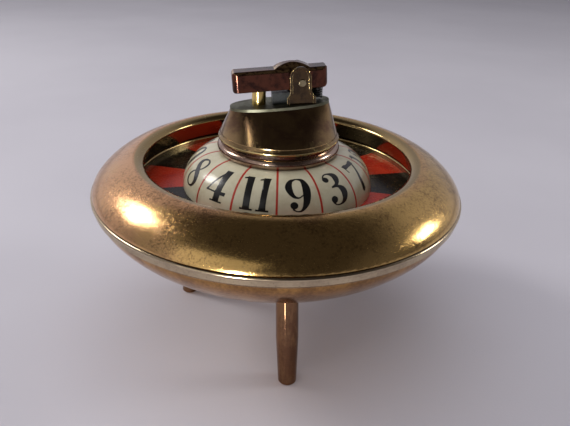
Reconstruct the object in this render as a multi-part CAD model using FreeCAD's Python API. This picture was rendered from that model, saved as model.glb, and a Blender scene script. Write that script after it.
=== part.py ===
"""Novelty table lighter: a spinning number wheel in a brass bowl on three splayed legs.

The origin is on the floor under the middle of the bowl, +Z is up, and all sizes are in millimetres.
The wheel turns on a spindle in the bowl. A lighter drops into the cup in the middle of the wheel.
"""
import FreeCAD, Part
import math
import os

os.makedirs("parts", exist_ok=True)

# ---- driving dimensions: bowl and crown -------------------------------------------------------
SEAM_Z = 51.2            # height of the joint between bowl and crown above the floor
BOWL_R = 56.0            # outer radius of the bead on the bowl's lip
SHEET = 0.9              # brass sheet thickness
BAND_R = BOWL_R - 0.5    # straight band under the bead
BAND_HEIGHT = 3.4        # the band that the crown's skirt pushes into
BOWL_DEPTH = 29.1        # from the foot of the band down to the bottom
BOWL_POWER = 1.47        # superellipse power of the bowl's outline
SEAT_R = 8.0             # flat at the middle of the bowl's bottom
BEAD_R = 0.6             # radius of the bead on the lip

CROWN_R = 55.5           # lower edge of the crown
CROWN_TOP_R = 43.4       # radius at the top of the crown
CROWN_HEIGHT = 9.2       # top of the crown above the seam
CROWN_POWER = 1.45
MOUTH_R = 40.1           # smallest radius, just inside the rolled edge
MOUTH_DROP = 1.7         # the roll ends this far below the crown's top
WALL_FOOT_R = 42.2       # inner wall at its foot
WALL_FOOT_RISE = 2.1     # foot of the inner wall above the seam
LIP_GAP = 0.3            # shadow gap between crown and bead

# ---- driving dimensions: legs -----------------------------------------------------------------
LEG_COUNT = 3
LEG_TOP_R = 27.7         # where a leg's axis meets the bowl
LEG_TOP_Z = 25.4
LEG_FOOT_R = 33.8        # where a leg's axis meets the floor
LEG_RADIUS = 3.35
LEG_TIP_RADIUS = 2.55
LEG_TAPER_SHARE = 0.55   # the lower share of the leg that tapers
LEG_FIRST_ANGLE = -89.0
FOOT_FILLET = 0.5

# ---- driving dimensions: wheel ----------------------------------------------------------------
DISC_Z = SEAM_Z - 0.5    # top face of the printed disc
DISC_THICKNESS = 0.5
DISC_R = 42.6
PLATE_THICKNESS = 0.8
RIM_R = 44.2             # outside of the wheel's rim
RIM_TOP_Z = SEAM_Z + 1.4
DOME_BASE_R = 29.1
DOME_TOP_R = 17.5
DOME_TOP_Z = SEAM_Z + 10.3
DOME_SHEET = 0.6
CUP_R = 16.9             # outside of the cup that holds the lighter
CUP_WALL = 0.6
CUP_BOTTOM_Z = 38.0
COLLAR_R = 18.4          # widest radius of the collar on the dome
COLLAR_TOP_Z = SEAM_Z + 14.1
BUSH_R = 4.5
BUSH_FLANGE_R = 7.5
SPINDLE_R = 2.0
RUNNING_CLEARANCE = 0.05

# ---- driving dimensions: lighter --------------------------------------------------------------
HOUSING_BASE_Z = COLLAR_TOP_Z + 0.3
HOUSING_R = 18.1         # round base of the housing
HOUSING_WAIST_R = 17.4
HOUSING_WAIST_Z = HOUSING_BASE_Z + 1.9
HOUSING_WALL = 0.8
HEAD_TILT = 4.6          # degrees that the lighter's top rises towards the thumb-piece
HEAD_Z = SEAM_Z + 24.7   # top plate's upper face on the axis
HEAD_HALF_LENGTH = 14.6
HEAD_HALF_WIDTH = 6.2
HEAD_POWER = 2.4
TOP_PLATE_THICKNESS = 0.8
TANK_R = 15.9
TANK_BOTTOM_Z = 43.0
TANK_TOP_Z = HOUSING_BASE_Z + 1.6
TANK_WALL = 0.5
WICK_X = -6.1
WICK_R = 1.5
WICK_TUBE_R = 2.05
WICK_TUBE_TOP_Z = SEAM_Z + 28.9
FLINT_TUBE_R = 1.8
FLINT_R = 1.2

# The head's own frame: U runs along the tilted top plate, W stands square on it.
PIVOT_U = 6.4
PIVOT_W = 6.2
PIN_R = 0.7
SPARK_WHEEL_R = 3.8
SPARK_WHEEL_WIDTH = 3.0
SPARK_TEETH = 30
LEVER_HALF_WIDTH = 3.1
LEVER_LEFT_U = -13.4
LEVER_RIGHT_U = 14.0
LEVER_BOTTOM_W = 4.3
LEVER_TOP_W = 10.1
LEVER_CHAMFER = 1.1
HUMP_LEFT_U = -1.2
HUMP_RIGHT_U = 9.0
HUMP_TOP_W = 11.7
WHEEL_CAVITY_R = 4.1
BRACKET_OUTER_Y = 4.6
BRACKET_THICKNESS = 0.9
BRACKET_HALF_LENGTH = 3.05
BRACKET_FOOT_HALF_LENGTH = 4.15
BRACKET_TOP_W = 10.85

FULL = 360.0
BIG = 200.0
OVER = 5.0               # cutting tools reach this far past the material
ORIGIN = FreeCAD.Vector(0, 0, 0)
AXIS_X = FreeCAD.Vector(1, 0, 0)
AXIS_Y = FreeCAD.Vector(0, 1, 0)
AXIS_UP = FreeCAD.Vector(0, 0, 1)


# ---- helpers ----------------------------------------------------------------------------------
def point(radius, height):
    """A point of a profile in the XZ plane."""
    return FreeCAD.Vector(radius, 0, height)


def save(name, shape):
    """Write one node."""
    if not shape.isValid():
        raise ValueError(name + " is not a valid solid")
    shape.exportStep("parts/" + name + ".step")


def superellipse(r_start, r_end, z_start, z_end, power, r_stop=None, steps=10):
    """Points from (r_start, z_start), where the curve is upright, to (r_end, z_end), where it is level."""
    last = math.pi / 2
    if r_stop is not None:
        share = (r_stop - r_end) / (r_start - r_end)
        last = math.acos(share ** (power / 2))
    points = []
    for step in range(steps + 1):
        angle = last * step / steps
        radius = r_end + (r_start - r_end) * math.cos(angle) ** (2 / power)
        height = z_start + (z_end - z_start) * math.sin(angle) ** (2 / power)
        points.append(point(radius, height))
    return points


def smooth(points):
    """A smooth edge through the points."""
    curve = Part.BSplineCurve()
    curve.interpolate(points)
    return curve.toShape()


def straight(*points):
    """Straight edges through the points."""
    edges = []
    for start, end in zip(points, points[1:]):
        edges.append(Part.makeLine(start, end))
    return edges


def bow(start, middle, end):
    """A circular arc through three points."""
    return Part.Arc(start, middle, end).toShape()


def corner(u, w, u_side, w_side, radius):
    """A rounded corner of a profile; the sides tell which way the corner points."""
    cut = radius * (1 - math.sqrt(0.5))
    return bow(point(u, w - w_side * radius), point(u - u_side * cut, w - w_side * cut),
               point(u - u_side * radius, w))


def spun(edges):
    """The solid that a closed profile sweeps about the Z axis."""
    face = Part.Face(Part.Wire(Part.__sortEdges__(edges)))
    return Part.Solid(face.revolve(ORIGIN, AXIS_UP, FULL).Shells[0])


def disc(radius, z_low, z_high, x=0.0, y=0.0):
    """An upright cylinder."""
    return Part.makeCylinder(radius, z_high - z_low, FreeCAD.Vector(x, y, z_low))


def ring(r_in, r_out, z_low, z_high, x=0.0, y=0.0):
    """An upright tube."""
    return disc(r_out, z_low, z_high, x, y).cut(disc(r_in, z_low, z_high, x, y))


def single(shape):
    """The one solid of a boolean result, with seams between like faces removed."""
    clean = shape.removeSplitter()
    if len(clean.Solids) != 1:
        raise ValueError("expected one solid, found " + str(len(clean.Solids)))
    return clean.Solids[0]


def group(shapes):
    """Separate solids kept together in one node."""
    return Part.makeCompound([single(shape) for shape in shapes])


# ---- base: bowl, crown, legs and spindle -------------------------------------------------------
BOWL_TOP_Z = SEAM_Z - BAND_HEIGHT
CREASE_STEP = 0.8        # the bowl starts this far inside the band
SKIRT_R = BAND_R - SHEET
CROWN_FOOT_Z = SEAM_Z + LIP_GAP
CROWN_TOP_Z = SEAM_Z + CROWN_HEIGHT
MOUTH_Z = CROWN_TOP_Z - MOUTH_DROP
WALL_FOOT_Z = SEAM_Z + WALL_FOOT_RISE
BOWL_OUTSIDE = superellipse(BAND_R - CREASE_STEP, 0, BOWL_TOP_Z, BOWL_TOP_Z - BOWL_DEPTH,
                            BOWL_POWER, SEAT_R)
BOWL_INSIDE = superellipse(SKIRT_R - CREASE_STEP, 0, BOWL_TOP_Z, BOWL_TOP_Z - BOWL_DEPTH + SHEET,
                           BOWL_POWER, SEAT_R)
SEAT_Z = BOWL_OUTSIDE[-1].z          # underside of the bowl at its flat
FLOOR_Z = BOWL_INSIDE[-1].z          # inside of the bowl at its flat

STUD_R = 2.5
SPINDLE_FLANGE_R = 7.0
SPINDLE_FLANGE = 1.6
SPINDLE_BODY_R = 3.0
SHOULDER_Z = 29.8
THRUST_WASHER = 0.3
AXIAL_PLAY = 0.1
BUSH_BOTTOM_Z = SHOULDER_Z + THRUST_WASHER + AXIAL_PLAY
CUP_FLOOR = 0.8
BUSH_TOP_Z = CUP_BOTTOM_Z + CUP_FLOOR
SPINDLE_TOP_Z = BUSH_TOP_Z + AXIAL_PLAY
HUB_SCREW_R = 1.25
HUB_SCREW_DEPTH = 8.0
HUB_WASHER = 0.6
HUB_WASHER_R = 5.0
SLOT_WIDTH = 0.6
NUT_FLATS = 8.0
NUT_HEIGHT = 3.1
STUD_END = 0.3
WASHER = 0.8
SPINDLE_WASHER_R = 6.0
SPIGOT_R = BUSH_R - 1.0
HUB_SCREW_HEAD_R = 2.8
HUB_SCREW_HEAD = 1.5
NUT_CHAMFER_SHARE = 0.25
HEAD_FILLET_SHARE = 0.25
SLOT_FLOOR_SHARE = 0.55  # height of a slot's floor as a share of the screw head


def hexagon(across_flats, z_low, height, hole_r):
    """A hexagonal nut on the Z axis."""
    corner_r = across_flats / math.sqrt(3)
    corners = []
    for side in range(7):
        angle = math.radians(60 * side)
        corners.append(FreeCAD.Vector(corner_r * math.cos(angle), corner_r * math.sin(angle), z_low))
    face = Part.Face(Part.makePolygon(corners))
    chamfer = Part.makeCone(corner_r + height, corner_r - height * NUT_CHAMFER_SHARE, height,
                            FreeCAD.Vector(0, 0, z_low))
    nut = face.extrude(FreeCAD.Vector(0, 0, height)).common(chamfer)
    return nut.cut(disc(hole_r, z_low, z_low + height))


def slotted_screw(shank_r, shank_length, head_r, head_height, slot_width=SLOT_WIDTH):
    """A cheese-head screw that points down, with the underside of its head at the origin."""
    head = disc(head_r, 0, head_height)
    rim = [edge for edge in head.Edges if edge.BoundBox.ZMin > head_height / 2]
    head = head.makeFillet(head_height * HEAD_FILLET_SHARE, rim)
    shank = disc(shank_r, -shank_length, 0)
    slot = Part.makeBox(3 * head_r, slot_width, head_height,
                        FreeCAD.Vector(-1.5 * head_r, -slot_width / 2, head_height * SLOT_FLOOR_SHARE))
    return head.fuse(shank).cut(slot)


def leg_angles():
    """Directions of the legs, in degrees about the Z axis."""
    return [LEG_FIRST_ANGLE + FULL * number / LEG_COUNT for number in range(LEG_COUNT)]


LEG_RUN = LEG_TOP_R - LEG_FOOT_R
LEG_LENGTH = math.hypot(LEG_RUN, LEG_TOP_Z)
LEG_LEAN = math.degrees(math.atan2(-LEG_RUN, LEG_TOP_Z))
LEG_SCREW_R = 1.5
LEG_SCREW_DEPTH = 10.0
LEG_SCREW_HEAD_R = 3.0
LEG_SCREW_HEAD = 1.8
LEG_WASHER_R = 3.8
LEG_WASHER_TOP = 2.6     # top of the washer above the bowl's outside, along the leg


def on_leg(shape):
    """Carry a shape from the leg's own frame, foot at the origin and Z along the leg, to a leg at +X."""
    placed = shape.copy()
    placed.rotate(ORIGIN, AXIS_Y, -LEG_LEAN)
    placed.translate(FreeCAD.Vector(LEG_FOOT_R, 0, 0))
    return placed


def turned(shape, angle):
    """A copy turned about the Z axis."""
    copy = shape.copy()
    copy.rotate(ORIGIN, AXIS_UP, angle)
    return copy


def bowl_inside_solid():
    """The space inside the bowl."""
    top = point(0, BOWL_TOP_Z)
    floor = point(0, FLOOR_Z)
    return spun([smooth(BOWL_INSIDE)] + straight(BOWL_INSIDE[-1], floor, top, BOWL_INSIDE[0]))


def bowl_outside_solid():
    """The bowl as if it were solid."""
    top = point(0, BOWL_TOP_Z)
    bottom = point(0, SEAT_Z)
    return spun([smooth(BOWL_OUTSIDE)] + straight(BOWL_OUTSIDE[-1], bottom, top, BOWL_OUTSIDE[0]))


def lower_shell():
    """Spun bowl with a straight band, a beaded lip and holes for the spindle and the leg screws."""
    band_foot = point(BAND_R, BOWL_TOP_Z + CREASE_STEP)
    bead_low = point(BAND_R, SEAM_Z - 2 * BEAD_R)
    bead_out = point(BOWL_R, SEAM_Z - BEAD_R)
    bead_high = point(BAND_R, SEAM_Z)
    edges = [smooth(BOWL_OUTSIDE), smooth(BOWL_INSIDE), bow(bead_low, bead_out, bead_high)]
    edges += straight(BOWL_OUTSIDE[0], band_foot, bead_low)
    edges += straight(bead_high, point(SKIRT_R, SEAM_Z), point(SKIRT_R, BOWL_TOP_Z + CREASE_STEP),
                      BOWL_INSIDE[0])
    edges += straight(BOWL_OUTSIDE[-1], point(STUD_R, SEAT_Z), point(STUD_R, FLOOR_Z), BOWL_INSIDE[-1])
    shell = spun(edges)
    for angle in leg_angles():
        shell = shell.cut(turned(on_leg(disc(LEG_SCREW_R, LEG_LENGTH - OVER, LEG_LENGTH + OVER)), angle))
    return single(shell)


def upper_shell():
    """Rolled crown with an inner wall, and a skirt that pushes into the bowl's band."""
    skirt_low = BOWL_TOP_Z + CREASE_STEP
    outside = superellipse(CROWN_R, CROWN_TOP_R, CROWN_FOOT_Z, CROWN_TOP_Z, CROWN_POWER)
    inside = superellipse(CROWN_R - SHEET, CROWN_TOP_R, CROWN_FOOT_Z + SHEET, CROWN_TOP_Z - SHEET,
                          CROWN_POWER)
    roll_out = superellipse(MOUTH_R, CROWN_TOP_R, MOUTH_Z, CROWN_TOP_Z, 2)
    roll_in = superellipse(MOUTH_R + SHEET, CROWN_TOP_R, MOUTH_Z, CROWN_TOP_Z - SHEET, 2)
    edges = [smooth(outside), smooth(inside), smooth(roll_out), smooth(roll_in)]
    edges += straight(roll_out[0], point(WALL_FOOT_R, WALL_FOOT_Z),
                      point(WALL_FOOT_R + SHEET, WALL_FOOT_Z), roll_in[0])
    edges += straight(outside[0], point(SKIRT_R, CROWN_FOOT_Z), point(SKIRT_R, skirt_low),
                      point(SKIRT_R - SHEET, skirt_low), point(SKIRT_R - SHEET, inside[0].z), inside[0])
    return spun(edges)


def leg():
    """Turned leg at +X, tapered towards the foot and cut level with the floor."""
    knee = LEG_LENGTH * LEG_TAPER_SHARE
    edges = straight(point(0, -OVER), point(LEG_TIP_RADIUS, -OVER), point(LEG_RADIUS, knee),
                     point(LEG_RADIUS, LEG_LENGTH + OVER), point(0, LEG_LENGTH + OVER), point(0, -OVER))
    blank = on_leg(spun(edges)).cut(bowl_outside_solid())
    blank = blank.cut(Part.makeBox(BIG, BIG, BIG, FreeCAD.Vector(-BIG / 2, -BIG / 2, -BIG)))
    blank = single(blank)
    foot_edges = [edge for edge in blank.Edges if edge.BoundBox.ZMax < 0.01]
    blank = blank.makeFillet(FOOT_FILLET, foot_edges)
    bore = disc(LEG_SCREW_R, LEG_LENGTH - LEG_SCREW_DEPTH, LEG_LENGTH + OVER)
    return single(blank.cut(on_leg(bore)))


def leg_screws():
    """One screw from inside the bowl into each leg."""
    screw = slotted_screw(LEG_SCREW_R, LEG_SCREW_DEPTH, LEG_SCREW_HEAD_R, LEG_SCREW_HEAD)
    screw.translate(FreeCAD.Vector(0, 0, LEG_LENGTH + LEG_WASHER_TOP))
    screw = on_leg(screw)
    return group([turned(screw, angle) for angle in leg_angles()])


def leg_washers():
    """Washers under the screw heads, shaped underneath to the bowl's curve."""
    washer = ring(LEG_SCREW_R, LEG_WASHER_R, LEG_LENGTH - LEG_WASHER_TOP, LEG_LENGTH + LEG_WASHER_TOP)
    washer = on_leg(washer).common(bowl_inside_solid())
    return group([turned(washer, angle) for angle in leg_angles()])


def spindle():
    """Fixed spindle: threaded stud, flange on the bowl's floor, shoulder and bearing journal."""
    stud = disc(STUD_R, SEAT_Z - WASHER - NUT_HEIGHT - STUD_END, FLOOR_Z)
    flange = disc(SPINDLE_FLANGE_R, FLOOR_Z, FLOOR_Z + SPINDLE_FLANGE)
    body = disc(SPINDLE_BODY_R, FLOOR_Z, SHOULDER_Z)
    journal = disc(SPINDLE_R, SHOULDER_Z, SPINDLE_TOP_Z)
    tapped = disc(HUB_SCREW_R, SPINDLE_TOP_Z - HUB_SCREW_DEPTH, SPINDLE_TOP_Z)
    return single(stud.fuse([flange, body, journal]).cut(tapped))


def hub_screw():
    """Screw in the spindle's end that keeps the wheel down."""
    screw = slotted_screw(HUB_SCREW_R, HUB_SCREW_DEPTH, HUB_SCREW_HEAD_R, HUB_SCREW_HEAD)
    screw.translate(FreeCAD.Vector(0, 0, SPINDLE_TOP_Z + HUB_WASHER))
    return single(screw)


# ---- wheel: disc, number dome, cup and bush ----------------------------------------------------
PLATE_Z = DISC_Z - DISC_THICKNESS - PLATE_THICKNESS
GROOVE_R = COLLAR_R - 1.3
GROOVE_Z = COLLAR_TOP_Z - 0.9
COLLAR_EDGE_R = COLLAR_R - 1.0


def rim_bead():
    """Brass rim round the printed disc, round on top."""
    shoulder = RIM_TOP_Z - (RIM_R - DISC_R) / 2
    edges = [bow(point(DISC_R, shoulder), point((DISC_R + RIM_R) / 2, RIM_TOP_Z), point(RIM_R, shoulder))]
    edges += straight(point(DISC_R, shoulder), point(DISC_R, PLATE_Z), point(RIM_R, PLATE_Z),
                      point(RIM_R, shoulder))
    return spun(edges)


def number_dome():
    """Domed ring that carries the numbers."""
    outside = superellipse(DOME_BASE_R, DOME_TOP_R, DISC_Z, DOME_TOP_Z, 2)
    inside = superellipse(DOME_BASE_R - DOME_SHEET, DOME_TOP_R, DISC_Z, DOME_TOP_Z - DOME_SHEET, 2)
    edges = [smooth(outside), smooth(inside)]
    edges += straight(outside[0], inside[0])
    edges += straight(outside[-1], point(CUP_R, DOME_TOP_Z), point(CUP_R, DOME_TOP_Z - DOME_SHEET),
                      inside[-1])
    return spun(edges)


def collar_ring():
    """Rounded brass collar on the dome, with a groove under the lighter's base."""
    belly = point(COLLAR_R, (DOME_TOP_Z + GROOVE_Z) / 2)
    edges = [bow(point(COLLAR_EDGE_R, DOME_TOP_Z), belly, point(COLLAR_EDGE_R, GROOVE_Z))]
    edges += straight(point(COLLAR_EDGE_R, GROOVE_Z), point(GROOVE_R, GROOVE_Z),
                      point(GROOVE_R, COLLAR_TOP_Z), point(CUP_R, COLLAR_TOP_Z),
                      point(CUP_R, DOME_TOP_Z), point(COLLAR_EDGE_R, DOME_TOP_Z))
    return spun(edges)


def lighter_cup():
    """Drawn cup that the lighter drops into."""
    walls = disc(CUP_R, CUP_BOTTOM_Z, COLLAR_TOP_Z)
    hollow = disc(CUP_R - CUP_WALL, BUSH_TOP_Z, COLLAR_TOP_Z)
    return single(walls.cut(hollow).cut(disc(SPIGOT_R, CUP_BOTTOM_Z, BUSH_TOP_Z)))


def hub_bush():
    """Bearing bush under the cup, riveted through its floor."""
    barrel = disc(BUSH_R, BUSH_BOTTOM_Z, CUP_BOTTOM_Z)
    flange = disc(BUSH_FLANGE_R, CUP_BOTTOM_Z - WASHER, CUP_BOTTOM_Z)
    spigot = disc(SPIGOT_R, CUP_BOTTOM_Z, BUSH_TOP_Z)
    bore = disc(SPINDLE_R + RUNNING_CLEARANCE, BUSH_BOTTOM_Z, BUSH_TOP_Z)
    return single(barrel.fuse([flange, spigot]).cut(bore))


# ---- lighter: housing, tank and head -----------------------------------------------------------
TILT = math.radians(HEAD_TILT)


def head_point(along, across, above):
    """A point given in the head's own frame."""
    x = along * math.cos(TILT) - above * math.sin(TILT)
    z = HEAD_Z + along * math.sin(TILT) + above * math.cos(TILT)
    return FreeCAD.Vector(x, across, z)


def on_head(shape):
    """Carry a shape from the head's own frame to its place."""
    placed = shape.copy()
    placed.rotate(ORIGIN, AXIS_Y, -HEAD_TILT)
    placed.translate(FreeCAD.Vector(0, 0, HEAD_Z))
    return placed


PIVOT = head_point(PIVOT_U, 0, PIVOT_W)
OUTLINE_STEPS = 36
HOUSING_BEAD_R = 0.55
HOUSING_BEAD_ANGLE = 60.0
PUSH_FIT = 0.02
WALL_STEP = 0.1          # height over which the housing's inside narrows above the tank


def outline_directions():
    """Evenly spread directions of the outward normal round an outline."""
    return [2 * math.pi * step / OUTLINE_STEPS for step in range(OUTLINE_STEPS)]


def head_outline(inset, above):
    """The head's oval, as a closed smooth wire at a height in the head's own frame."""
    length = HEAD_HALF_LENGTH - inset
    width = HEAD_HALF_WIDTH - inset
    root = 1 / (HEAD_POWER - 1)
    points = []
    for angle in outline_directions():
        along = (length * abs(math.cos(angle))) ** root
        across = (width * abs(math.sin(angle))) ** root
        scale = (along ** HEAD_POWER + across ** HEAD_POWER) ** (1 / HEAD_POWER)
        u = math.copysign(length * along / scale, math.cos(angle))
        y = math.copysign(width * across / scale, math.sin(angle))
        points.append(head_point(u, y, above))
    curve = Part.BSplineCurve()
    curve.interpolate(Points=points, PeriodicFlag=True)
    return Part.Wire(curve.toShape())


def waist_outline(radius, height):
    """A circle with its points in the same directions as the head's oval."""
    points = []
    for angle in outline_directions():
        points.append(FreeCAD.Vector(radius * math.cos(angle), radius * math.sin(angle), height))
    curve = Part.BSplineCurve()
    curve.interpolate(Points=points, PeriodicFlag=True)
    return Part.Wire(curve.toShape())


def housing_round_part():
    """Radius and height of the rings of the housing's round base, from the foot up to the waist."""
    steps = 6
    foot = math.sin(math.radians(HOUSING_BEAD_ANGLE))
    rings = []
    for step in range(steps + 1):
        angle = math.radians(HOUSING_BEAD_ANGLE * (2 * step / steps - 1))
        rings.append((HOUSING_R - HOUSING_BEAD_R + HOUSING_BEAD_R * math.cos(angle),
                      HOUSING_BASE_Z + HOUSING_BEAD_R * (math.sin(angle) + foot)))
    neck_r, neck_z = rings[-1]
    for step in range(1, 5):
        share = step / 4
        rings.append((neck_r + (HOUSING_WAIST_R - neck_r) * math.sin(share * math.pi / 2),
                      neck_z + (HOUSING_WAIST_Z - neck_z) * share))
    return rings


def lighter_housing():
    """Brass skin that goes from a round base to a tilted oval top."""
    outside = [waist_outline(radius, height) for radius, height in housing_round_part()]
    outside.append(head_outline(0, -TOP_PLATE_THICKNESS))
    bore_r = TANK_R + PUSH_FIT
    inner_r = HOUSING_WAIST_R - HOUSING_WALL
    hollow = [waist_outline(bore_r, HOUSING_BASE_Z - OVER), waist_outline(bore_r, TANK_TOP_Z),
              waist_outline(inner_r, TANK_TOP_Z + WALL_STEP), waist_outline(inner_r, HOUSING_WAIST_Z),
              head_outline(HOUSING_WALL, -TOP_PLATE_THICKNESS)]
    skin = Part.makeLoft(outside, True, True)
    return single(skin.cut(Part.makeLoft(hollow, True, True)))


def wick_post(radius, z_low, z_high):
    """An upright cylinder round the wick's axis."""
    return disc(radius, z_low, z_high, WICK_X)


def flint_post(radius, z_low, z_high):
    """An upright cylinder round the flint tube's axis."""
    return disc(radius, z_low, z_high, PIVOT.x)


def top_plate():
    """Oval plate that closes the housing, with holes for the wick tube and the flint tube."""
    plate = Part.makeLoft([head_outline(0, -TOP_PLATE_THICKNESS), head_outline(0, 0)], True, True)
    plate = plate.cut(wick_post(WICK_TUBE_R, TANK_TOP_Z, HEAD_Z + OVER))
    return single(plate.cut(flint_post(FLINT_TUBE_R, TANK_TOP_Z, HEAD_Z + OVER)))


FILLER_X = -8.0
FILLER_R = 2.5
FILLER_HEAD_R = 3.6
FILLER_HEAD = 1.0
FILLER_SLOT = 0.8
FILLER_THREAD = 1.0      # the thread's length beyond the tank's wall
GASKET_R = 3.4
GASKET = 0.3
WADDING_BOTTOM_Z = TANK_BOTTOM_Z + 2.6
WADDING_TOP_Z = 62.0
WICK_BOTTOM_Z = 50.0
WICK_PROUD = 0.8


def fuel_tank():
    """Closed fuel can with holes for the wick tube, the flint tube and the filler screw."""
    can = disc(TANK_R, TANK_BOTTOM_Z, TANK_TOP_Z)
    hollow = disc(TANK_R - TANK_WALL, TANK_BOTTOM_Z + TANK_WALL, TANK_TOP_Z - TANK_WALL)
    can = can.cut(hollow).cut(flint_post(FLINT_TUBE_R, TANK_BOTTOM_Z, TANK_TOP_Z))
    can = can.cut(wick_post(WICK_TUBE_R, TANK_TOP_Z - TANK_WALL, TANK_TOP_Z))
    return single(can.cut(disc(FILLER_R, TANK_BOTTOM_Z, TANK_BOTTOM_Z + TANK_WALL, FILLER_X)))


def fuel_wadding():
    """Cotton wadding that holds the fuel."""
    pad = disc(TANK_R - TANK_WALL, WADDING_BOTTOM_Z, WADDING_TOP_Z)
    pad = pad.cut(flint_post(FLINT_TUBE_R, WADDING_BOTTOM_Z, WADDING_TOP_Z))
    return single(pad.cut(wick_post(WICK_R, WICK_BOTTOM_Z, WADDING_TOP_Z)))


def filler_screw():
    """Large slotted screw that closes the tank from below."""
    thread = TANK_WALL + FILLER_THREAD + GASKET
    screw = slotted_screw(FILLER_R, thread, FILLER_HEAD_R, FILLER_HEAD, FILLER_SLOT)
    screw.rotate(ORIGIN, AXIS_X, 180)
    screw.translate(FreeCAD.Vector(FILLER_X, 0, TANK_BOTTOM_Z - GASKET))
    return single(screw)


FLINT_TOP_Z = PIVOT.z - SPARK_WHEEL_R - 0.2
FLINT_TUBE_TOP_Z = FLINT_TOP_Z - 0.5
FLINT_LENGTH = 5.0
FLINT_SCREW_LENGTH = 5.5
FLINT_BORE_R = FLINT_R + RUNNING_CLEARANCE
FLINT_SCREW_HEAD_R = 2.3
FLINT_SCREW_HEAD = 1.0
FLINT_WIRE_R = 0.2
FLINT_SPRING_TURNS = 12


def flint_screw():
    """Screw under the flint spring."""
    screw = slotted_screw(FLINT_BORE_R, FLINT_SCREW_LENGTH, FLINT_SCREW_HEAD_R, FLINT_SCREW_HEAD)
    screw.rotate(ORIGIN, AXIS_X, 180)
    screw.translate(FreeCAD.Vector(PIVOT.x, 0, TANK_BOTTOM_Z))
    return single(screw)


def coil(radius, wire_r, pitch, turns, x, z_low):
    """A compression spring that stands on its lower end."""
    helix = Part.makeHelix(pitch, pitch * turns, radius)
    section = Part.Wire(Part.makeCircle(wire_r, FreeCAD.Vector(radius, 0, 0), AXIS_Y))
    spring = Part.Wire(helix.Edges).makePipeShell([section], True, True)
    spring.translate(FreeCAD.Vector(x, 0, z_low + wire_r))
    return single(spring)


def flint_spring():
    """Long spring that pushes the flint up."""
    low = TANK_BOTTOM_Z + FLINT_SCREW_LENGTH
    high = FLINT_TOP_Z - FLINT_LENGTH
    pitch = (high - low - 2 * FLINT_WIRE_R) / FLINT_SPRING_TURNS
    return coil(FLINT_R - FLINT_WIRE_R, FLINT_WIRE_R, pitch, FLINT_SPRING_TURNS, PIVOT.x, low)


def along_y(radius, half_width, u=PIVOT_U, w=PIVOT_W):
    """A cylinder across the head, in the head's own frame."""
    return Part.makeCylinder(radius, 2 * half_width, FreeCAD.Vector(u, -half_width, w), AXIS_Y)


def plate_across(edges, y_low, y_high):
    """A closed outline in the head's UW plane, given thickness across the head."""
    face = Part.Face(Part.Wire(Part.__sortEdges__(edges)))
    face.translate(FreeCAD.Vector(0, y_low, 0))
    return face.extrude(FreeCAD.Vector(0, y_high - y_low, 0))


BLOCK_LEFT_U = -2.2
BLOCK_STEP_U = 4.0
BLOCK_RIGHT_U = 9.0
BLOCK_HALF_WIDTH = 2.0
BLOCK_LOW_W = 1.9
BLOCK_HIGH_W = 3.2
SPARK_WHEEL_GAP = 0.3


def flint_block():
    """Cradle on the top plate that steadies the flint tube under the spark wheel."""
    edges = straight(point(BLOCK_LEFT_U, 0), point(BLOCK_RIGHT_U, 0), point(BLOCK_RIGHT_U, BLOCK_LOW_W),
                     point(BLOCK_STEP_U, BLOCK_LOW_W), point(BLOCK_STEP_U, BLOCK_HIGH_W),
                     point(BLOCK_LEFT_U, BLOCK_HIGH_W), point(BLOCK_LEFT_U, 0))
    block = plate_across(edges, -BLOCK_HALF_WIDTH, BLOCK_HALF_WIDTH)
    block = block.cut(along_y(SPARK_WHEEL_R + SPARK_WHEEL_GAP, BLOCK_HALF_WIDTH))
    return single(on_head(block).cut(flint_post(FLINT_TUBE_R, TANK_TOP_Z, HEAD_Z + OVER)))


BRACKET_MIDDLE_U = 5.9
BORDER = 0.7
EMBOSS = 0.3
FLARE_TOP_W = 4.2
FLARE_MIDDLE_W = 2.9
FLARE_FOOT_W = 2.2
FLARE_BEND_SHARE = 0.35


def bracket_outline(inset, foot_w):
    """Edges of the bracket: flared foot, straight sides and a round top."""
    half = BRACKET_HALF_LENGTH - inset
    foot = BRACKET_FOOT_HALF_LENGTH - inset
    round_z = BRACKET_TOP_W - BRACKET_HALF_LENGTH
    middle = half + FLARE_BEND_SHARE * (foot - half)
    left = BRACKET_MIDDLE_U - half
    right = BRACKET_MIDDLE_U + half
    edges = [bow(point(left, round_z), point(BRACKET_MIDDLE_U, round_z + half), point(right, round_z))]
    for side in (-1, 1):
        flare_foot = point(BRACKET_MIDDLE_U + side * foot, FLARE_FOOT_W)
        flare_top = point(BRACKET_MIDDLE_U + side * half, FLARE_TOP_W)
        edges.append(bow(flare_foot, point(BRACKET_MIDDLE_U + side * middle, FLARE_MIDDLE_W), flare_top))
        edges += straight(point(BRACKET_MIDDLE_U + side * foot, foot_w), flare_foot)
        edges += straight(flare_top, point(BRACKET_MIDDLE_U + side * half, round_z))
    edges += straight(point(BRACKET_MIDDLE_U - foot, foot_w), point(BRACKET_MIDDLE_U + foot, foot_w))
    return edges


def front_bracket():
    """Bracket in front of the lever, with a raised border."""
    plate = plate_across(bracket_outline(0, 0), -BRACKET_OUTER_Y, BRACKET_THICKNESS - BRACKET_OUTER_Y)
    recess = plate_across(bracket_outline(BORDER, -OVER), -BRACKET_OUTER_Y, EMBOSS - BRACKET_OUTER_Y)
    plate = plate.cut(recess).cut(along_y(PIN_R, BRACKET_OUTER_Y + OVER))
    return single(on_head(plate))


RIVET_R = 1.1
RIVET_HEAD = 0.35
RIVET_FILLET = 0.2


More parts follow.
